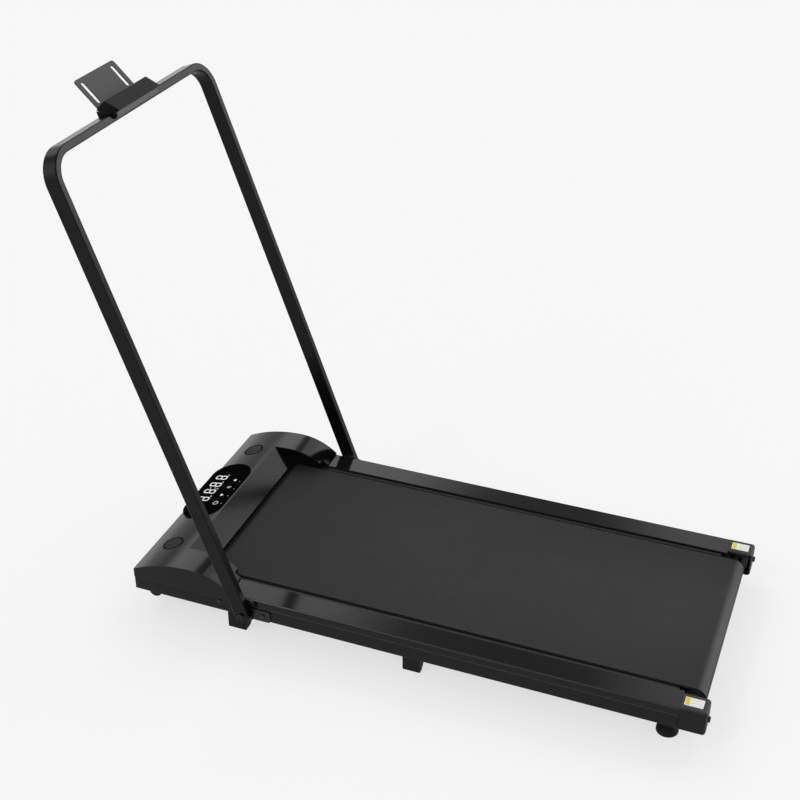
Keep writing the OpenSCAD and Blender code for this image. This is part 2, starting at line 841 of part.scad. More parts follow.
// A length of leg, from z0 to z1
module leg_solid(inset, z0, z1) {
    translate([0, rail_half - bar_t / 2, z0]) rotate([0, 0, 90]) linear_extrude(z1 - z0) bar_2d(inset);
}

module handrail_solid(inset, foot) {
    for (side = [-1, 1]) on_side(side) {
        leg_solid(inset, foot, corner_z);
        translate([0, corner_y, corner_z]) rotate([90, 0, 90]) rotate_extrude(angle = 90, $fn = 96)
            translate([bend_mid, 0]) bar_2d(inset);
    }
    translate([0, -corner_y, rail_l - bar_t / 2]) rotate([-90, 0, 0]) rotate([0, 0, 90])
        linear_extrude(2 * corner_y) bar_2d(inset);
}

module handrail_tube() {
    color([0.1, 0.1, 0.11]) on_handrail() difference() {
        intersection() {
            handrail_solid(0, -end_r - 1);
            union() {
                box(-bar_w, bar_w, -rail_half - 1, rail_half + 1, 0, rail_l + 1);
                along_y(0, -rail_half - 1, rail_half + 1, 0, end_r);
            }
        }
        handrail_solid(bar_wall, -bar_w);
        for (side = [-1, 1]) on_side(side) along_y(0, leg_in - 1, rail_half + 1, 0, bolt_r + run);
    }
}

module handrail_plugs() {
    color([0.05, 0.05, 0.05]) on_handrail() both_sides() difference() {
        intersection() {
            leg_solid(bar_wall, -end_r - 1, 20);
            union() {
                box(-bar_w, bar_w, leg_in - 1, rail_half + 1, 0, 40);
                along_y(0, leg_in - 1, rail_half + 1, 0, end_r);
            }
        }
        along_y(0, leg_in - 1, rail_half + 1, 0, bolt_r + run);
    }
}

module stop_pins() {
    color("silver") on_handrail() both_sides() along_y(0, leg_in - 3, leg_in, stop_s, stop_r);
}

// Places the holder's own axes on the rear upper edge of the top bar
module on_bar() { on_handrail() translate([bar_w / 2, 0, rail_l]) children(); }

module holder_base() {
    color([0.13, 0.13, 0.14]) on_bar() difference() {
        slab_y(-base_half, base_half) polygon([
            [-32.2, -11], [-bar_w - seam, -11], [-bar_w - seam, 0], [0, 0], [8.8, 0], [9.8, 1.2],
            [13.8, 1.2], [15, 2.2], [15, 4], [-5.3, 23.6], [-7.2, 24], [-27.7, 14.6], [-32.2, 9]
        ]);
        along_y(hinge_a, -plate_half - 0.6, plate_half + 0.6, hinge_n, 4.4);
        box(-40, hinge_a + 1.6, -plate_half - 0.6, plate_half + 0.6, hinge_n, 30);
        along_y(hinge_a, -base_half - 1, base_half + 1, hinge_n, pin_r);
        for (y = [-40, 40]) along_x(-40, -bar_w + 1, y, -6, 2.2);
    }
}

module holder_jaw() {
    color([0.03, 0.03, 0.03]) on_bar() {
        slab_y(-base_half, base_half) polygon([
            [seam, -seam], [seam, -9], [1.5, -10.5], [7.3, -7.5], [8.8, -6], [8.8, -seam]
        ]);
        for (y = [-40, 40]) along_x(-36.7, -32.2, y, -6, 4);
    }
}

module holder_pin() {
    color("silver") on_bar() along_y(hinge_a, -base_half, base_half, hinge_n, pin_r);
}

// Places the plate's own axes: z up the plate from its hinge, x to the rear
module on_plate() { on_bar() translate([hinge_a, 0, hinge_n]) rotate([0, -plate_tilt, 0]) children(); }

module holder_plate() {
    color([0.33, 0.33, 0.34]) on_plate() difference() {
        union() {
            translate([plate_t / 2, 0, plate_l / 2]) rotate([90, 0, -90]) linear_extrude(plate_t)
                round_rect(2 * plate_half, plate_l, plate_corner);
            box(-plate_t / 2, plate_t / 2, -plate_half, plate_half, 0, plate_l / 2);
            along_y(0, -plate_half, plate_half, 0, 3.6);
        }
        along_y(0, -plate_half - 1, plate_half + 1, 0, pin_r + run);
        for (side = [-1, 1]) {
            box(-plate_t, plate_t, side * slot_y - slot_w / 2, side * slot_y + slot_w / 2,
                slot_low + slot_w / 2, slot_high - slot_w / 2);
            for (z = [slot_low + slot_w / 2, slot_high - slot_w / 2])
                along_x(-plate_t, plate_t, side * slot_y, z, slot_w / 2);
        }
    }
}

side_tube_left();
side_tube_right();
front_crossmember();
middle_crossmember();
rear_crossmember();
motor_tray();
side_rail_left();
side_rail_right();
end_cap_left();
end_cap_right();
cap_labels();
front_axle_brackets();
rear_axle_brackets();
deck_board();
deck_cushions();
walking_belt();
roller_axles();
roller_bearings();
front_roller();
roller_pulley();
rear_roller();
motor_housing();
motor_bracket();
motor_bearings();
motor_rotor();
motor_pulley();
drive_belt();
controller_board();
heat_sink();
capacitors();
motor_cover();
display_bezel();
display_window();
display_board();
speaker_grilles();
speakers();
power_inlet();
switch_frame();
power_switch();
overload_breaker();
breaker_button();
foot_blocks();
levelling_foot_left();
levelling_foot_right();
lock_nuts();
wheel_brackets();
transport_wheel_left();
transport_wheel_right();
tension_bolt_left();
tension_bolt_right();
pivot_brackets();
pivot_bolts();
side_screws();
handrail_tube();
handrail_plugs();
stop_pins();
holder_base();
holder_jaw();
holder_pin();
holder_plate();
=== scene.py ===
"""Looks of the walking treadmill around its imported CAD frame. Everything is in metres, in the part's own
frame: x runs from the motor end to the rear, +y is the user's right and z is up from the floor."""

import math

import bmesh
import bpy
from mathutils import Matrix, Vector


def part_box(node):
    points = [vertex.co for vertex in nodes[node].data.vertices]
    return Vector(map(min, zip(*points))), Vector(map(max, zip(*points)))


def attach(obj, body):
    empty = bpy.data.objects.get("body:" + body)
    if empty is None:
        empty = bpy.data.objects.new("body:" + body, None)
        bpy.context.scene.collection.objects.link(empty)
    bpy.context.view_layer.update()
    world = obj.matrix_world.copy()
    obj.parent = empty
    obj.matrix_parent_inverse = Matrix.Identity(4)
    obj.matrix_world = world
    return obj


MM = 0.001
TURN = 2 * math.pi

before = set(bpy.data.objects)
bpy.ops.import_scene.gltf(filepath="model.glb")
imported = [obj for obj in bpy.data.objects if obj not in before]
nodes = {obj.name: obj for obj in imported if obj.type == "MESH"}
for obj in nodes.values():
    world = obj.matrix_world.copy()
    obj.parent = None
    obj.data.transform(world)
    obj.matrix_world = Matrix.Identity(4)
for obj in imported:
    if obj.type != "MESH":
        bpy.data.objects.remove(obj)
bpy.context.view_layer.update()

# ---- camera ----

CAMERA_PLACE = (0.768131, -2.0757, 1.7805)
CAMERA_AZIMUTH, CAMERA_ELEVATION, CAMERA_ROLL = 21.217, 31.351, -0.126  # degrees
LENS, SENSOR = 63.17, 36.0  # millimetres
CLIP_NEAR, CLIP_FAR = 0.05, 100


def make_camera():
    azimuth, elevation = math.radians(CAMERA_AZIMUTH), math.radians(CAMERA_ELEVATION)
    level = math.cos(elevation)
    forward = Vector((-math.sin(azimuth) * level, math.cos(azimuth) * level, -math.sin(elevation)))
    data = bpy.data.cameras.new("photo_camera")
    data.lens, data.sensor_width = LENS, SENSOR
    data.clip_start, data.clip_end = CLIP_NEAR, CLIP_FAR
    camera = bpy.data.objects.new("photo_camera", data)
    bpy.context.scene.collection.objects.link(camera)
    aim = forward.to_track_quat("-Z", "Y").to_matrix().to_4x4()
    roll = Matrix.Rotation(math.radians(CAMERA_ROLL), 4, "Z")
    camera.matrix_world = Matrix.Translation(CAMERA_PLACE) @ aim @ roll
    bpy.context.scene.camera = camera


# ---- material nodes ----

# How far the normal points a way, from where each mask starts to rise or fall to where it is done.
# FLANK, REAR and EDGE_UP shape the mask of the painted edge highlights.
FLANK_RISE, FLANK_FALL = (0.2, 0.34), (0.9, 0.97)
REAR_RISE, REAR_FALL = (0.7, 0.76), (0.95, 0.98)
EDGE_UP, FACE_UP = (0.1, 0.25), (0.35, 0.75)


class Look:
    """The node tree of one finish. Its patterns follow the object's own coordinates, in metres."""

    def __init__(self, name):
        self.mat = bpy.data.materials.get(name) or bpy.data.materials.new(name)
        self.mat.use_nodes = True
        self.nodes = self.mat.node_tree.nodes
        self.nodes.clear()
        self.shader = self.add("ShaderNodeBsdfPrincipled")
        self.out = self.add("ShaderNodeOutputMaterial")
        self.link(self.shader.outputs["BSDF"], self.out.inputs["Surface"])
        self.place = self.add("ShaderNodeTexCoord").outputs["Object"]
        self.normal = None

    def add(self, kind, **settings):
        node = self.nodes.new(kind)
        for key, value in settings.items():
            setattr(node, key, value)
        return node

    def link(self, a, b):
        self.mat.node_tree.links.new(a, b)

    def put(self, socket, value):
        """Links value to the socket if it is another node's output, and otherwise sets it there."""
        if hasattr(value, "links"):
            self.link(value, socket)
        else:
            socket.default_value = value

    def set(self, **values):
        """Sets the shader's own sockets, named with underscores for spaces."""
        for key, value in values.items():
            self.put(self.shader.inputs[key.replace("_", " ")], value)

    # -- numbers --

    def math(self, operation, a, b=0.0, c=0.0):
        node = self.add("ShaderNodeMath", operation=operation)
        for socket, value in zip(node.inputs, (a, b, c)):
            self.put(socket, value)
        return node.outputs[0]

    def product(self, first, *others):
        for other in others:
            first = self.math("MULTIPLY", first, other)
        return first

    def weigh(self, a, share, b, other_share):
        """The sum of a and b, each times its share."""
        return self.math("ADD", self.math("MULTIPLY", a, share), self.math("MULTIPLY", b, other_share))

    def wave(self, operation, value, period):
        """The sine or cosine of value, with this period."""
        return self.math(operation, self.math("MULTIPLY", value, TURN / period))

    def span(self, value, low, high, from_low=0.3, from_high=0.7):
        """value brought from between from_low and from_high to between low and high."""
        node = self.add("ShaderNodeMapRange")
        for socket, number in zip(node.inputs, (value, from_low, from_high, low, high)):
            self.put(socket, number)
        return node.outputs["Result"]

    def rise(self, value, start, end):
        """0 up to start, 1 from end on."""
        return self.span(value, 0.0, 1.0, start, end)

    def fall(self, value, start, end):
        """1 up to start, 0 from end on."""
        return self.span(value, 1.0, 0.0, start, end)

    def between(self, value, low, high):
        """1 between low and high, 0 elsewhere."""
        return self.product(self.math("GREATER_THAN", value, low), self.math("LESS_THAN", value, high))

    # -- places and patterns --

    def split(self, vector):
        node = self.add("ShaderNodeSeparateXYZ")
        self.put(node.inputs[0], vector)
        return node.outputs

    def xyz(self):
        return self.split(self.place)

    def facing(self):
        """x, y and z of the surface's normal, in the object's own axes."""
        return self.split(self.add("ShaderNodeTexCoord").outputs["Normal"])

    def stretched(self, scale):
        node = self.add("ShaderNodeMapping")
        self.put(node.inputs["Vector"], self.place)
        node.inputs["Scale"].default_value = scale
        return node.outputs[0]

    def noise(self, scale, detail, rough=0.55, where=None):
        node = self.add("ShaderNodeTexNoise")
        self.put(node.inputs["Vector"], where or self.place)
        node.inputs["Scale"].default_value = scale
        node.inputs["Detail"].default_value = detail
        node.inputs["Roughness"].default_value = rough
        return node.outputs["Fac"]

    def lines(self, scale, detail):
        """Noise drawn out into lines, with a scale for each axis."""
        return self.noise(1.0, detail, where=self.stretched(scale))

    def cells(self, scale, feature="F1"):
        node = self.add("ShaderNodeTexVoronoi", feature=feature)
        self.put(node.inputs["Vector"], self.place)
        node.inputs["Scale"].default_value = scale
        return node.outputs["Distance"]

    def painted_edge_highlight(self):
        """Painted highlight mask: 1 on rounded edges under upward faces, where they turn to an outer flank or
        the rear.
        """
        x, y, z = self.facing()
        flank = self.product(y, self.math("SIGN", self.xyz()[1]))
        side = self.product(self.rise(flank, *FLANK_RISE), self.fall(flank, *FLANK_FALL))
        rear = self.product(self.rise(x, *REAR_RISE), self.fall(x, *REAR_FALL))
        return self.product(self.math("MAXIMUM", side, rear), self.rise(z, *EDGE_UP))

    def upward(self):
        """1 on faces that look up, 0 on walls and undersides."""
        return self.rise(self.facing()[2], *FACE_UP)

    # -- colour and relief --

    def blend(self, factor, a, b):
        node = self.add("ShaderNodeMix", data_type="RGBA")
        self.put(node.inputs["Factor"], factor)
        for socket, colour in zip((node.inputs["A"], node.inputs["B"]), (a, b)):
            self.put(socket, (*colour, 1.0) if isinstance(colour, tuple) else colour)
        return node.outputs["Result"]

    def bump(self, height, distance):
        node = self.add("ShaderNodeBump")
        node.inputs["Strength"].default_value = 1.0
        node.inputs["Distance"].default_value = distance
        self.put(node.inputs["Height"], height)
        if self.normal:
            self.put(node.inputs["Normal"], self.normal)
        self.normal = node.outputs["Normal"]
        self.put(self.shader.inputs["Normal"], self.normal)

    def lean(self, low, high, half, angle):
        """Shades faces within half of the middle plane, whose normal's x lies between low and high, as if
        they sloped back by angle degrees."""
        central = self.math("LESS_THAN", self.math("ABSOLUTE", self.xyz()[1]), half)
        sloped = self.add("ShaderNodeCombineXYZ")
        sloped.inputs[0].default_value = math.sin(math.radians(angle))
        sloped.inputs[2].default_value = math.cos(math.radians(angle))
        node = self.add("ShaderNodeMix", data_type="VECTOR")
        self.put(node.inputs["Factor"], self.product(self.between(self.facing()[0], low, high), central))
        ends = [socket for socket in node.inputs if socket.type == "VECTOR" and socket.name in ("A", "B")]
        self.put(ends[0], self.add("ShaderNodeNewGeometry").outputs["Normal"])
        self.put(ends[1], sloped.outputs[0])
        self.normal = next(socket for socket in node.outputs if socket.type == "VECTOR")


COOL = 1.03


def shade(colour, factor):
    return tuple(c * factor for c in colour)


def grey(value):
    """A grey of this linear value, a touch cooler than neutral."""
    return (value, value, value * COOL)


# ---- finishes that several slots share ----

# Noise scales, in cycles per metre.
CLOUD, COAT_CLOUD, METAL_CLOUD, PAPER_CLOUD = 7, 5, 22, 40
GRAIN, PEEL, SPECKLE, TURNED = 1300, 650, 3200, 1500
# Heights of relief.
GRAIN_DEPTH, PEEL_DEPTH, SPECKLE_DEPTH, LINE_DEPTH = 0.02 * MM, 0.03 * MM, 0.004 * MM, 0.004 * MM
MOULDED_VARY, COATED_VARY = 0.18, 0.15  # how far a colour strays either way, as a share
ROUGH_BELOW, ROUGH_ABOVE = 0.04, 0.05


def moulded(slot, colour, rough, level, grain=GRAIN, depth=GRAIN_DEPTH):
    """Moulded plastic: fine spark-eroded grain, with slow shifts of tone and gloss."""
    look = Look(slot)
    slow, fine = look.noise(CLOUD, 4), look.noise(grain, 2)
    look.set(Base_Color=look.blend(slow, shade(colour, 1 - MOULDED_VARY), shade(colour, 1 + MOULDED_VARY)))
    look.set(Roughness=look.span(look.weigh(slow, 0.6, fine, 0.4), rough - ROUGH_BELOW, rough + ROUGH_ABOVE))
    look.set(Specular_IOR_Level=level)
    look.bump(fine, depth)


def coated(slot, colour, rough, level, depth=PEEL_DEPTH, painted_edge_highlight=0.0):
    """Powder coat on steel: orange peel of about a millimetre over a finer speckle. Where a grey is given for
    them, the rounded edges are painted that grey as a highlight."""
    look = Look(slot)
    peel, speckle, slow = look.noise(PEEL, 2, 0.4), look.noise(SPECKLE, 1), look.noise(COAT_CLOUD, 3)
    tone = look.blend(slow, shade(colour, 1 - COATED_VARY), shade(colour, 1 + COATED_VARY))
    # The rounded edges take the painted highlight's grey.
    look.set(Base_Color=look.blend(look.painted_edge_highlight(), tone, grey(painted_edge_highlight)) if painted_edge_highlight else tone)
    gloss = look.weigh(slow, 0.5, speckle, 0.5)
    look.set(Roughness=look.span(gloss, rough - ROUGH_BELOW, rough + ROUGH_ABOVE))
    look.set(Specular_IOR_Level=level)
    look.bump(peel, depth)
    look.bump(speckle, SPECKLE_DEPTH)


def brushed(slot, colour, rough, along, metal=1.0):
    """Turned or rolled metal, with fine lines and a faint cloud in its colour. along scales the lines' noise
    on each axis, so its smallest number is the axis that they follow."""
    look = Look(slot)
    lines, slow = look.lines(tuple(TURNED * a for a in along), 3), look.noise(METAL_CLOUD, 3)
    look.set(Base_Color=look.blend(slow, shade(colour, 0.82), shade(colour, 1.1)))
    look.set(Roughness=look.span(lines, rough - 0.07, rough + 0.1), Metallic=metal)
    look.bump(lines, LINE_DEPTH)


# ---- finishes of one slot ----

RAIL_LINES = (6, 900, 900)  # noise scales along and across the rail
BELT_DIAMOND = 4.6 * MM  # pitch of the raised diamonds
BELT_TREAD = (50 * MM, 170 * MM)  # where the worn middle gives way, from the middle plane
BELT_BENT, BELT_BENT_DONE = (0.1, 0.5), (0.84, 0.97)  # x of the normal over the bend's painted highlight
BELT_EDGE_SHADE = 4.2 * MM  # width of the painted shade along the edges, beside the rails
BELT_LIP_SHADOW, BELT_LIP_SHADOW_FADE = 67 * MM, 9 * MM  # end of the painted shadow under the cover's lip, in front of the cover's rear, and its fade
LABEL_WIDTH, LABEL_ROWS, LABEL_TICKS = 21 * MM, 3, 22  # width across, rows over it, ticks over the length
LABEL_PRINTED, LABEL_BAND, LABEL_SCALE = (0.05, 0.95), (0.03, 0.27), (0.36, 0.93)  # shares of width, length
RAMP_NORMAL_X = (0.5, 0.56)  # between these lies the x of the ramp's normal, and of no other face there
RAMP_HALF, RAMP_SHADED = 193.5 * MM, 20.8  # half width, and the slope that it is shaded with, in degrees
GRILLE_RADIUS, GRILLE_RINGS, GRILLE_PITCH = 21 * MM, 19 * MM, 4 * MM
EAR_START, EAR_END = 258 * MM, 259.5 * MM  # where the painted shade of a bracket's ear takes over, from the middle plane


def rail_finish():
    """Satin extrusion with faint drawing lines along its length, and a painted highlight on its rounded
    edges.
    """
    look = Look("rail_black")
    lines, slow = look.lines(RAIL_LINES, 2), look.noise(4, 3)
    # The rounded edges are painted grey as a highlight.
    look.set(Base_Color=look.blend(look.painted_edge_highlight(), look.blend(slow, grey(0.004), grey(0.006)), grey(0.038)))
    look.set(Roughness=look.span(look.weigh(lines, 0.6, slow, 0.4), 0.07, 0.12), Specular_IOR_Level=0.18)
    look.bump(lines, 0.006 * MM)


def belt_finish():
    """Walking belt: rows of small raised diamonds, worn smoother down the middle, with a painted highlight
    where the belt bends. Its edges beside the rails, and the belt under the cover's lip, are painted black as
    shade."""
    look = Look("belt_black")
    x, y, z = look.xyz()
    off_middle = look.math("ABSOLUTE", y)
    run = look.math("ADD", x, z)
    wander = look.math("MULTIPLY", look.noise(60, 2), 0.9)
    one, two = (look.math("SINE", look.math("ADD", look.math("MULTIPLY", slant, TURN / BELT_DIAMOND), wander))
                for slant in (look.math("ADD", run, y), look.math("SUBTRACT", run, y)))
    stud = look.product(one, two)
    fine, slow = look.noise(1800, 2), look.noise(3.2, 4)
    tone = look.rise(look.weigh(stud, 0.6, slow, 0.5), -0.3, 0.8)
    face = look.blend(tone, grey(0.001), grey(0.037))
    bend = look.facing()[0]
    # Painted highlight: the belt is paler where it bends round the roller.
    painted_bend_highlight = look.product(look.rise(bend, *BELT_BENT), look.fall(bend, *BELT_BENT_DONE))
    face = look.blend(painted_bend_highlight, face, grey(0.08))
    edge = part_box("walking_belt")[1].y - BELT_EDGE_SHADE
    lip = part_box("motor_cover")[1].x - BELT_LIP_SHADOW
    # Painted shadow under the cover's lip, fading out just behind it.
    painted_lip_shadow = look.fall(x, lip, lip + BELT_LIP_SHADOW_FADE)
    # Painted shade along the edges beside the rails, joined with the lip's painted shadow.
    painted_shade = look.math("MAXIMUM", look.math("GREATER_THAN", off_middle, edge), painted_lip_shadow)
    look.set(Base_Color=look.blend(painted_shade, face, grey(0.0015)))
    gloss = look.span(look.weigh(look.rise(off_middle, *BELT_TREAD), 0.5, fine, 0.5), 0.46, 0.6, 0.1, 0.8)
    look.set(Roughness=look.math("MAXIMUM", gloss, painted_shade), Specular_IOR_Level=0.2)
    look.bump(stud, 0.52 * MM)
    look.bump(fine, 0.02 * MM)


def rubber_finish():
    """Dull rubber of the feet, tyres, drive belt and cushions."""
    look = Look("rubber_black")
    fine, slow = look.noise(1500, 3), look.noise(14, 4)
    look.set(Base_Color=look.blend(slow, grey(0.006), grey(0.011)))
    look.set(Roughness=look.span(fine, 0.6, 0.78), Specular_IOR_Level=0.2)
    look.bump(fine, 0.05 * MM)


def label_finish():
    """Matt film label: a plain yellow end band, and a plain scale of ticks on the white."""
    look = Look("label_white")
    lo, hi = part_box("cap_labels")
    x, y = look.xyz()[:2]
    along = look.math("DIVIDE", look.math("SUBTRACT", x, lo.x), hi.x - lo.x)
    side = look.math("DIVIDE", look.math("SUBTRACT", hi.y, look.math("ABSOLUTE", y)), LABEL_WIDTH)
    in_side = look.between(side, *LABEL_PRINTED)
    band = look.product(look.between(along, *LABEL_BAND), in_side)
    ticks = look.math("GREATER_THAN", look.wave("SINE", along, 1 / LABEL_TICKS), 0.3)
    rows = look.math("GREATER_THAN", look.wave("SINE", side, 1 / LABEL_ROWS), 0.1)
    scale = look.product(ticks, rows, look.between(along, *LABEL_SCALE), in_side)
    cloud = look.noise(PAPER_CLOUD, 3)
    paper = look.blend(cloud, (0.74, 0.74, 0.72), (0.8, 0.8, 0.78))
    inked = look.blend(look.math("MULTIPLY", scale, 0.6), paper, (0.25, 0.26, 0.28))
    yellow = look.blend(cloud, (0.66, 0.55, 0.002), (0.72, 0.6, 0.003))
    look.set(Base_Color=look.blend(band, inked, yellow))
    tooth = look.noise(900, 2)
    look.set(Roughness=look.span(tooth, 0.42, 0.56), Specular_IOR_Level=0.15)
    look.bump(tooth, 0.01 * MM)


def window_finish():
    """Smoked acrylic over the display: black, smooth, with hair-fine wiping marks."""
    look = Look("window_black")
    marks = look.lines((40, 400, 40), 3)
    look.set(Base_Color=look.blend(look.noise(9, 3), grey(0.0015), grey(0.003)))
    look.set(Roughness=look.span(marks, 0.08, 0.14), Specular_IOR_Level=0.0)
    look.bump(marks, 0.001 * MM)


def lit_finish():
    """White light-emitting segments of the display."""
    look = Look("segment_white")
    glow = look.noise(260, 2)
    look.set(Base_Color=look.blend(glow, (0.58, 0.59, 0.6), (0.66, 0.67, 0.68)))
    look.set(Roughness=look.span(glow, 0.38, 0.5), Specular_IOR_Level=0.1)
    look.set(Emission_Color=(0.93, 0.96, 1.0, 1.0), Emission_Strength=0.25)
    look.bump(glow, 0.004 * MM)
    return look.mat


def board_finish():
    """Fibreboard with pressed fibres in layers at its edges, and a black waxed face."""
    look = Look("board_brown")
    fibres = look.lines((260, 260, 1100), 4)
    edge = look.blend(look.span(fibres, 0.0, 1.0), (0.13, 0.08, 0.045), (0.26, 0.17, 0.1))
    look.set(Base_Color=look.blend(look.upward(), edge, grey(0.003)))
    look.set(Roughness=look.span(fibres, 0.6, 0.8))
    look.bump(fibres, 0.1 * MM)


def circuit_finish():
    """Green circuit board with lighter tracks."""
    look = Look("board_green")
    tracks = look.fall(look.cells(420, "DISTANCE_TO_EDGE"), 0.03, 0.09)
    look.set(Base_Color=look.blend(tracks, (0.01, 0.06, 0.025), (0.03, 0.16, 0.06)))
    look.set(Roughness=look.span(look.noise(500, 2), 0.3, 0.45))
    look.bump(tracks, 0.03 * MM)


def zinc_finish():
    """Black-passivated zinc on sheet, with a faint spangle."""
    look = Look("zinc_steel")
    spangle = look.cells(160)
    tone = look.rise(spangle, 0.1, 0.7)
    look.set(Base_Color=look.blend(tone, (0.02, 0.02, 0.022), (0.045, 0.045, 0.048)), Metallic=1.0)
    look.set(Roughness=look.span(look.noise(700, 2), 0.28, 0.42))
    look.bump(spangle, 0.006 * MM)


def cover_finish():
    """Glossy moulding with a painted highlight on its rounded edges. Its ramp is shaded flatter than it is
    cut, so that it reflects as the real one seems to."""
    look = Look("cover_black")
    look.lean(*RAMP_NORMAL_X, RAMP_HALF, RAMP_SHADED)
    slow, fine = look.noise(CLOUD, 4), look.noise(1500, 2)
    # The rounded edges are painted paler as a highlight.
    look.set(Base_Color=look.blend(look.painted_edge_highlight(), look.blend(slow, grey(0.0029), grey(0.0041)), grey(0.11)))
    look.set(Roughness=look.span(look.weigh(slow, 0.6, fine, 0.4), 0.1, 0.19), Specular_IOR_Level=0.19)
    look.bump(fine, 0.004 * MM)


def grille_finish():
    """Loudspeaker grilles: satin rings painted a paler grey as a sheen. The spokes across the slots are rough
    and painted black as shade, as if they lay deep in the slots, and the outer edge is rough and black."""
    look = Look("grille_black")
    x, y, z = look.xyz()
    lo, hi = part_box("speaker_grilles")
    across = look.math("SUBTRACT", look.math("ABSOLUTE", y), hi.y - GRILLE_RADIUS)
    along = look.math("SUBTRACT", x, (lo.x + hi.x) / 2)
    height = look.math("SUBTRACT", z, (lo.z + hi.z) / 2)
    square = look.product(across, across)
    for offset in (along, height):
        square = look.math("MULTIPLY_ADD", offset, offset, square)
    radius = look.math("SQRT", square)
    slots = look.wave("COSINE", look.math("SUBTRACT", radius, GRILLE_PITCH / 2), GRILLE_PITCH)
    # Painted shade: black on the spokes across the slots, and on the outer edge.
    dull_painted_shade = look.math("MAXIMUM", look.rise(slots, -0.5, 0.1), look.math("GREATER_THAN", radius, GRILLE_RINGS))
    fine = look.noise(1500, 2)
    # The rings are painted a paler grey as a sheen.
    look.set(Base_Color=look.blend(dull_painted_shade, grey(0.035), grey(0.0005)))
    look.set(Roughness=look.math("MAXIMUM", look.span(fine, 0.3, 0.4), dull_painted_shade), Specular_IOR_Level=0.1)
    look.bump(fine, 0.01 * MM)


def cap_finish():
    """Moulded end cap: darker walls, with its upward faces painted paler as a highlight."""
    look = Look("cap_black")
    slow, fine = look.noise(CLOUD, 4), look.noise(1100, 2)
    walls = look.blend(slow, grey(0.0035), grey(0.006))
    # Painted highlight: the upward faces take a paler grey than the walls.
    painted_lit_top = look.blend(slow, grey(0.028), grey(0.038))
    look.set(Base_Color=look.blend(look.upward(), walls, painted_lit_top))
    look.set(Roughness=look.span(fine, 0.38, 0.48), Specular_IOR_Level=0.18)
    look.bump(fine, 0.03 * MM)


def bracket_finish():
    """Hinge bracket: a dark grey base plate, and the upright ear beside the handrail's leg painted near black
    as shade.
    """
    look = Look("bracket_black")
    slow, speckle = look.noise(COAT_CLOUD, 3), look.noise(SPECKLE, 1)
    # Painted shade: the ear beside the handrail's leg is near black.
    ear = look.rise(look.math("ABSOLUTE", look.xyz()[1]), EAR_START, EAR_END)
    look.set(Base_Color=look.blend(ear, look.blend(slow, grey(0.017), grey(0.024)), grey(0.0025)))
    look.set(Roughness=look.span(speckle, 0.32, 0.42), Specular_IOR_Level=0.2)
    look.bump(look.noise(PEEL, 2, 0.4), PEEL_DEPTH)
    look.bump(speckle, SPECKLE_DEPTH)


def dress_frame():
    for finish in (cover_finish, grille_finish, cap_finish, bracket_finish, rail_finish, belt_finish,
                   rubber_finish, label_finish, window_finish, board_finish, circuit_finish, zinc_finish):
        finish()
    moulded("bezel_black", grey(0.004), rough=0.22, level=0.2, grain=1500, depth=0.006 * MM)
    moulded("fitting_black", grey(0.009), rough=0.36, level=0.4)
    moulded("holder_black", grey(0.0035), rough=0.4, level=0.1, grain=1200, depth=0.03 * MM)
    moulded("holder_grey", grey(0.045), rough=0.44, level=0.3, grain=1200, depth=0.03 * MM)
    moulded("motor_black", grey(0.012), rough=0.45, level=0.4)
    moulded("switch_red", (0.36, 0.012, 0.01), rough=0.28, level=0.5)
    moulded("button_grey", grey(0.35), rough=0.4, level=0.4)
    moulded("capacitor_blue", (0.015, 0.03, 0.1), rough=0.35, level=0.5)
    # The frame's rounded edges are painted a paler grey as a highlight.
    coated("frame_black", grey(0.004), rough=0.35, level=0.18, painted_edge_highlight=0.13)
    coated("handrail_black", grey(0.003), rough=0.22, level=0.15, depth=0.018 * MM)
    brushed("steel_bright", (0.6, 0.6, 0.61), rough=0.26, along=(1, 0.04, 1))
    brushed("bolt_black", (0.035, 0.035, 0.037), rough=0.36, along=(1, 0.1, 1), metal=0.7)
    brushed("rotor_copper", (0.55, 0.27, 0.13), rough=0.35, along=(1, 0.05, 1))
    brushed("pulley_grey", (0.13, 0.13, 0.135), rough=0.4, along=(1, 0.05, 1))
    brushed("heat_sink_grey", (0.6, 0.61, 0.62), rough=0.34, along=(1, 0.03, 1))


# ---- softened edges of the visible solids ----

EDGES = {  # node: width of its rounded edges, in millimetres
    "motor_cover": 0.9, "side_rail_left": 0.7, "side_rail_right": 0.7, "side_tube_left": 1.6,
    "side_tube_right": 1.6, "front_crossmember": 1.6, "middle_crossmember": 1.6, "rear_crossmember": 1.6,
    "motor_tray": 0.5, "pivot_brackets": 0.6, "foot_blocks": 0.8, "holder_base": 0.7, "holder_jaw": 0.6,
    "display_window": 0.3, "cap_labels": 0.08, "speaker_grilles": 0.25, "power_inlet": 0.4,
    "switch_frame": 0.4, "power_switch": 0.5, "wheel_brackets": 0.4, "levelling_foot_left": 0.6,
    "levelling_foot_right": 0.6, "walking_belt": 0.5, "side_screws": 0.3, "tension_bolt_left": 0.35,
    "tension_bolt_right": 0.35, "pivot_bolts": 0.35, "handrail_plugs": 0.4, "end_cap_left": 0.4,
    "end_cap_right": 0.4,
}
WELD_GAP = 0.002 * MM
SHARP_ANGLE = math.radians(32)
EDGE_STEPS, FLAT_WEIGHT = 2, 60


def soften(node, width):
    """Rounds a solid's sharp edges by width millimetres, as a mould or a press brake leaves them."""
    weld = node.modifiers.new("join", "WELD")
    weld.merge_threshold = WELD_GAP
    bevel = node.modifiers.new("edge", "BEVEL")
    bevel.width, bevel.segments = width * MM, EDGE_STEPS
    bevel.limit_method, bevel.angle_limit = "ANGLE", SHARP_ANGLE
    bevel.miter_outer = "MITER_ARC"
    shading = node.modifiers.new("shading", "WEIGHTED_NORMAL")
    shading.weight = FLAT_WEIGHT
    shading.keep_sharp = False


# ---- display figures ----

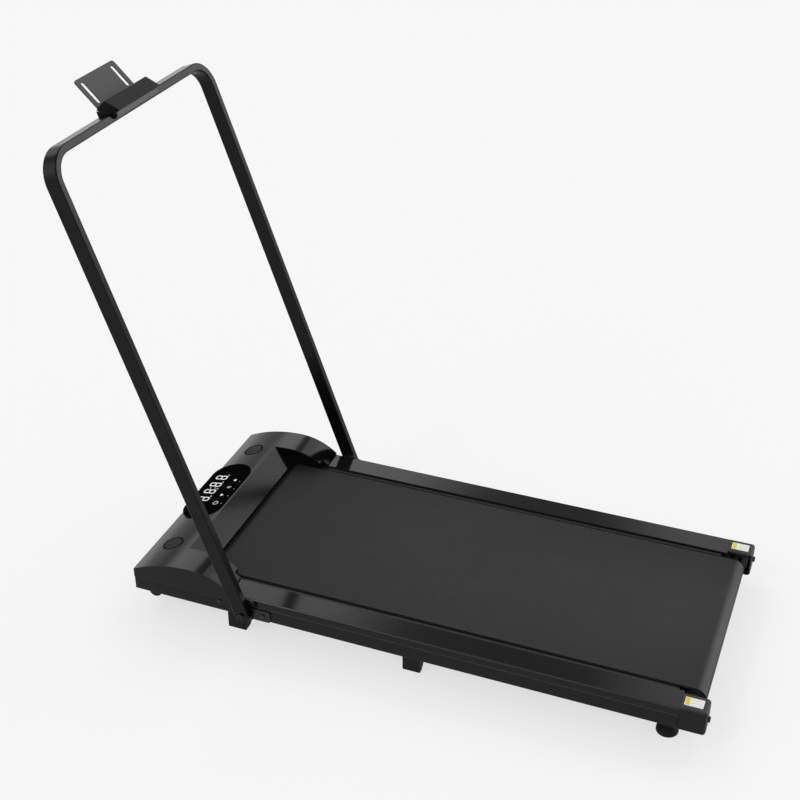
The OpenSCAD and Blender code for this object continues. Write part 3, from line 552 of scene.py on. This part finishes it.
# u runs to the user's right from the window's middle. v runs up the figures, which is towards the front, from
# the window's rear edge.
WINDOW_SLOPE = 0.235  # fall for each metre of v
FIGURE_LIFT, FIGURE_SINK = 0.12 * MM, -0.05 * MM
DIGIT_H, DIGIT_W, STROKE, SLANT, STROKE_GAP = 27 * MM, 14.5 * MM, 2.7 * MM, 0.09, 0.35 * MM
DIGIT_ROW, DIGIT_PLACES = 56.5 * MM, (-34.5 * MM, -6.4 * MM, 19.7 * MM, 47.3 * MM)
POINT_STEP, POINT_RADIUS = 4.2 * MM, 1.5 * MM
COLON_PLACE, COLON_STEP, COLON_RADIUS = 6.6 * MM, 5.2 * MM, 1.4 * MM
KEY_ROW, KEY_STROKE = 21 * MM, 1.3 * MM
POWER_PLACE, POWER_RADIUS, POWER_BAR, POWER_BAR_STEP = -49 * MM, 5.2 * MM, 4.6 * MM, 4.2 * MM
POWER_START, POWER_END, ARC_STEPS = math.radians(120), math.radians(420), 22
DOWN_PLACE, UP_PLACE, ARROW_HALF_W, ARROW_HALF_H = -19 * MM, 38 * MM, 4.5 * MM, 3.4 * MM
LIST_PLACE, LIST_STEP, LIST_LENGTH, LIST_TAPER, LIST_STROKE = 11 * MM, 2.9 * MM, 7.4 * MM, 1.2 * MM, 1.1 * MM
DOT_ROW, DOT_PLACES, DOT_RADIUS, DOT_SIDES = 6 * MM, (-51 * MM, -23 * MM, 4 * MM, 32 * MM), 0.9 * MM, 14


class Figures:
    """Thin flat figures on the display window, as one piece."""

    def __init__(self, name):
        self.name, self.mesh = name, bmesh.new()
        lo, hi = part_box("display_window")
        self.middle_y, self.rear = (lo.y + hi.y) / 2, hi

    def place(self, u, v, lift):
        return Vector((self.rear.x - v, self.middle_y + u, self.rear.z - v * WINDOW_SLOPE + lift))

    def shape(self, outline):
        """Adds a closed plate with this outline, given counter-clockwise."""
        low = [self.mesh.verts.new(self.place(u, v, FIGURE_SINK)) for u, v in outline]
        high = [self.mesh.verts.new(self.place(u, v, FIGURE_LIFT)) for u, v in outline]
        self.mesh.faces.new(high)
        self.mesh.faces.new(low[::-1])
        for i, corner in enumerate(low):
            j = (i + 1) % len(low)
            self.mesh.faces.new((corner, low[j], high[j], high[i]))

    def disc(self, u, v, r, sides=20):
        angles = [TURN * i / sides for i in range(sides)]
        self.shape([(u + r * math.cos(a), v + r * math.sin(a)) for a in angles])

    def bar(self, u, v, length, width, angle=0.0):
        """A stroke with pointed ends, centred on u, v and turned by angle."""
        half, side = length / 2, width / 2
        c, s = math.cos(angle), math.sin(angle)
        points = [(-half, 0), (side - half, -side), (half - side, -side),
                  (half, 0), (half - side, side), (side - half, side)]
        self.shape([(u + c * a - s * b, v + s * a + c * b) for a, b in points])

    def ring(self, u, v, r, width, start, end):
        """An arc of a ring from start to end, in radians, as a row of plates."""
        angles = [start + (end - start) / ARC_STEPS * i for i in range(ARC_STEPS + 1)]
        outer, inner = ([(u + (r + w) * math.cos(a), v + (r + w) * math.sin(a)) for a in angles]
                        for w in (width / 2, -width / 2))
        for i in range(ARC_STEPS):
            self.shape([inner[i], outer[i], outer[i + 1], inner[i + 1]])

    def eight(self, u, v):
        """A seven-segment figure with all segments lit, and its decimal point."""
        half_w, half_h = DIGIT_W / 2 - STROKE / 2, DIGIT_H / 2 - STROKE / 2
        for row in (-1, 0, 1):
            self.bar(u + SLANT * row * half_h, v + row * half_h, 2 * half_w - STROKE_GAP, STROKE)
        for side in (-1, 1):
            for row in (-1, 1):
                self.bar(u + side * half_w + SLANT * row * half_h / 2, v + row * half_h / 2,
                         half_h - STROKE_GAP, STROKE, math.pi / 2 - math.atan(SLANT))
        self.disc(u + half_w + POINT_STEP, v - half_h, POINT_RADIUS)

    def finish(self, material):
        bmesh.ops.recalc_face_normals(self.mesh, faces=self.mesh.faces)
        mesh = bpy.data.meshes.new(self.name)
        self.mesh.to_mesh(mesh)
        self.mesh.free()
        mesh.materials.append(material)
        piece = bpy.data.objects.new(self.name, mesh)
        bpy.context.scene.collection.objects.link(piece)
        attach(piece, "deck")


def make_display(material):
    """Four figures with a colon between the pairs, then a row of key marks with their indicator dots."""
    digits = Figures("display_digits")
    for u in DIGIT_PLACES:
        digits.eight(u, DIGIT_ROW)
    for row in (-1, 1):
        digits.disc(COLON_PLACE, DIGIT_ROW + row * COLON_STEP, COLON_RADIUS)
    digits.finish(material)

    keys = Figures("display_keys")
    low, high = KEY_ROW - ARROW_HALF_H, KEY_ROW + ARROW_HALF_H
    keys.ring(POWER_PLACE, KEY_ROW, POWER_RADIUS, KEY_STROKE, POWER_START, POWER_END)
    keys.bar(POWER_PLACE, KEY_ROW + POWER_BAR_STEP, POWER_BAR, KEY_STROKE, math.pi / 2)
    keys.shape([(DOWN_PLACE - ARROW_HALF_W, high), (DOWN_PLACE, low), (DOWN_PLACE + ARROW_HALF_W, high)])
    keys.shape([(UP_PLACE - ARROW_HALF_W, low), (UP_PLACE + ARROW_HALF_W, low), (UP_PLACE, high)])
    for i in (-1, 0, 1):
        keys.bar(LIST_PLACE, KEY_ROW + i * LIST_STEP, LIST_LENGTH - i * LIST_TAPER, LIST_STROKE)
    for u in DOT_PLACES:
        keys.disc(u, DOT_ROW, DOT_RADIUS, DOT_SIDES)
    keys.finish(material)


# ---- floor and light ----

FLOOR_HALF, FLOOR_WHITE, FLOOR_SHADOW = 40, 0.935, 0.28


def make_floor():
    """Pale floor. What the eye and mirror-like surfaces see of it is mostly its own white, with a faint
    shadow kept."""
    mesh = bpy.data.meshes.new("floor")
    corners = [(x * FLOOR_HALF, y * FLOOR_HALF, 0) for x, y in ((-1, -1), (1, -1), (1, 1), (-1, 1))]
    mesh.from_pydata(corners, [], [(0, 1, 2, 3)])
    floor = bpy.data.objects.new("floor", mesh)
    bpy.context.scene.collection.objects.link(floor)
    look = Look("floor_white")
    look.set(Base_Color=look.blend(look.noise(0.6, 2), (0.9, 0.9, 0.9), (0.91, 0.91, 0.91)))
    look.set(Roughness=0.9, Specular_IOR_Level=0.0)
    white = look.add("ShaderNodeEmission")
    white.inputs["Color"].default_value = (FLOOR_WHITE, FLOOR_WHITE, FLOOR_WHITE, 1.0)
    path = look.add("ShaderNodeLightPath").outputs
    mirrored = look.math("MAXIMUM", path["Is Glossy Ray"], path["Is Transmission Ray"])
    seen = look.math("MAXIMUM", path["Is Camera Ray"], mirrored)
    mix = look.add("ShaderNodeMixShader")
    look.link(look.math("MULTIPLY", seen, 1 - FLOOR_SHADOW), mix.inputs[0])
    look.link(look.shader.outputs["BSDF"], mix.inputs[1])
    look.link(white.outputs["Emission"], mix.inputs[2])
    look.link(mix.outputs["Shader"], look.out.inputs["Surface"])
    mesh.materials.append(look.mat)


# A studio's soft panels as (strength, azimuth from, to, elevation from, to, softness, lean), in degrees.
# Azimuth runs from +y towards +x. Lean turns the panel as it rises, in degrees of azimuth for each degree
# of elevation above PANEL_PIVOT.
PANELS = (
    (2.1, -85, -22.8, 25, 56, 3.0, 0.75),
    (1.5, -9.3, 45, 29, 58, 2.5, 0.0),
    (0.9, 8, 50, 27, 60, 6.0, 0.0),
    (6.5, 33, 55, 3, 16, 3.0, 0.0),
    (0.7, -75, -20, -4, 7, 4.0, 0.0),
    (5.0, 207, 227, 34, 54, 3.0, 0.0),
    (1.3, -135, -98, 6, 30, 5.0, 0.0),
)
PANEL_PIVOT = 40
SKY_LOW, SKY_HIGH = 0.94, 0.46  # strength near the horizon and overhead
SKY_CHANGE, SKY_SOFT = 19, 8  # elevation where one gives way to the other, in degrees


class Sky(Look):
    """The world's node tree: a strength that depends only on the direction in the world."""

    def __init__(self):
        self.mat = bpy.data.worlds.new("studio")
        self.mat.use_nodes = True
        self.nodes = self.mat.node_tree.nodes
        x, y, z = self.split(self.add("ShaderNodeTexCoord").outputs["Generated"])
        self.azimuth = self.math("ARCTAN2", x, y)
        self.elevation = self.math("ARCSINE", z)

    def past(self, value, at, soft):
        """0 below at and 1 above it, with a smooth step of soft degrees either way."""
        node = self.add("ShaderNodeMapRange", interpolation_type="SMOOTHSTEP")
        start, end = math.radians(at - soft), math.radians(at + soft)
        for socket, number in zip(node.inputs, (value, start, end, 0.0, 1.0)):
            self.put(socket, number)
        return node.outputs["Result"]

    def panel(self, strength, left, right, low, high, soft, lean):
        above = self.math("SUBTRACT", self.elevation, math.radians(PANEL_PIVOT))
        azimuth = self.math("ADD", self.azimuth, self.math("MULTIPLY", above, lean))
        off_middle = self.math("SUBTRACT", azimuth, math.radians((left + right) / 2))
        off_middle = self.math("ABSOLUTE", self.math("WRAP", off_middle, math.pi, -math.pi))
        across = self.math("SUBTRACT", 1.0, self.past(off_middle, (right - left) / 2, soft))
        below = self.math("SUBTRACT", 1.0, self.past(self.elevation, high, soft))
        up = self.product(self.past(self.elevation, low, soft), below)
        return self.product(across, up, strength)


def make_light():
    sky = Sky()
    overhead = sky.past(sky.elevation, SKY_CHANGE, SKY_SOFT)
    level = sky.math("ADD", sky.math("MULTIPLY", overhead, SKY_HIGH - SKY_LOW), SKY_LOW)
    for panel in PANELS:
        level = sky.math("ADD", level, sky.panel(*panel))
    background = sky.nodes["Background"]
    background.inputs["Color"].default_value = (1, 1, 1, 1)
    sky.link(level, background.inputs["Strength"])
    bpy.context.scene.world = sky.mat
    bpy.context.scene.view_settings.view_transform = "Standard"


make_camera()
dress_frame()
for name, width in EDGES.items():
    soften(nodes[name], width)
make_display(lit_finish())
make_floor()
make_light()
